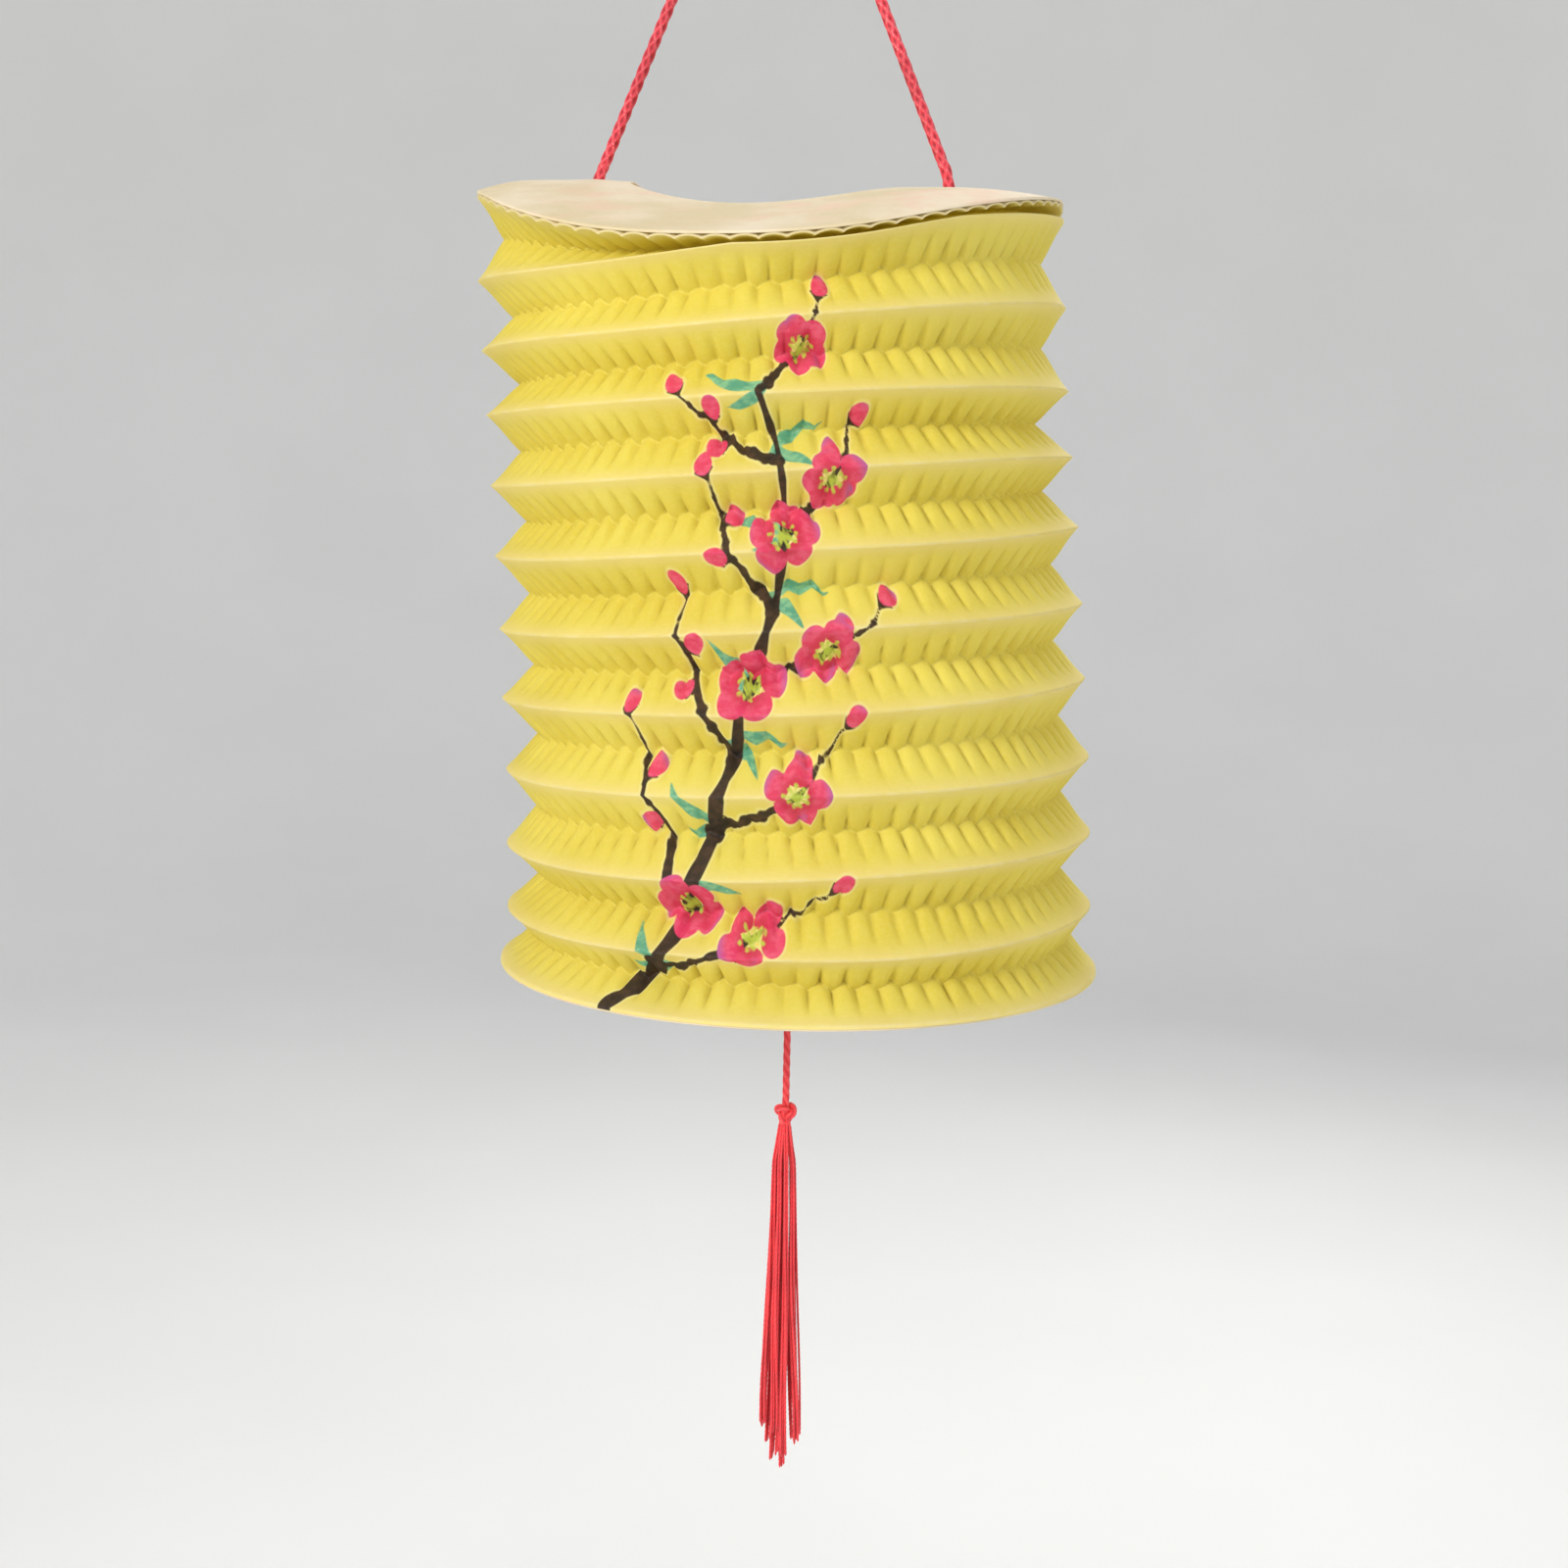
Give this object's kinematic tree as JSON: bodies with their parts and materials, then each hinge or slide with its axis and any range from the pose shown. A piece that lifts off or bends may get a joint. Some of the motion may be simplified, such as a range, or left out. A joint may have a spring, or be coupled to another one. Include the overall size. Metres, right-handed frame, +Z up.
{
  "type": "accordion paper lantern",
  "caption": "Pleated paper cylinder lantern with an open card top, hung from a knotted cord loop, with a thread tassel under its base.",
  "frame": {"origin": "inside top of the hanging loop, where a hook bears", "axes": "+Z up, the lantern hangs towards -Z; the printed front faces -Y, and the line through the two cord holes lies 10.5 degrees off X, its +X end forward"},
  "size_m": [0.1708, 0.16, 0.5022],
  "materials": {
    "pleated_paper": "matt crinkled",
    "card": "matt",
    "cord_braid": "braided, slight sheen",
    "tassel_thread": "twisted, slight sheen"
  },
  "bodies": {
    "suspension": {"hanging_loop": "cord_braid", "loop_knot": "cord_braid", "hanging_cord_left": "cord_braid", "hanging_cord_right": "cord_braid"},
    "lantern_top": {"top_ring": "card", "stopper_knot_left": "cord_braid", "stopper_knot_right": "cord_braid", "accordion_paper": "pleated_paper"},
    "lantern_base": {"bottom_disc": "card", "tassel_stopper_knot": "tassel_thread"},
    "tassel_line": {"tassel_cord": "tassel_thread"},
    "tassel": {"tassel_head_knot": "tassel_thread", "tassel_strand_01": "tassel_thread", "tassel_strand_02": "tassel_thread", "tassel_strand_03": "tassel_thread", "tassel_strand_04": "tassel_thread", "tassel_strand_05": "tassel_thread", "tassel_strand_06": "tassel_thread", "tassel_strand_07": "tassel_thread", "tassel_strand_08": "tassel_thread", "tassel_strand_09": "tassel_thread", "tassel_strand_10": "tassel_thread", "tassel_strand_11": "tassel_thread", "tassel_strand_12": "tassel_thread"}
  },
  "joints": [
    {"name": "lantern_rock", "type": "hinge", "parent": "suspension", "child": "lantern_top", "pos_m": [0, 0, -0.145], "axis": [0.9833, -0.1822, 0], "range_deg": [-80, 80]},
    {"name": "bellows_fold", "type": "slide", "parent": "lantern_top", "child": "lantern_base", "axis": [0, 0, 1], "range_m": [0, 0.192], "deforming": ["accordion_paper", "top_ring"]},
    {"name": "tassel_cord_swing", "type": "hinge", "parent": "lantern_base", "child": "tassel_line", "pos_m": [0.0093, 0, -0.3643], "axis": [1, 0, 0], "range_deg": [-75, 75]},
    {"name": "tassel_swing", "type": "hinge", "parent": "tassel_line", "child": "tassel", "pos_m": [0.0093, 0, -0.3967], "axis": [0, 1, 0], "range_deg": [-70, 70]}
  ]
}
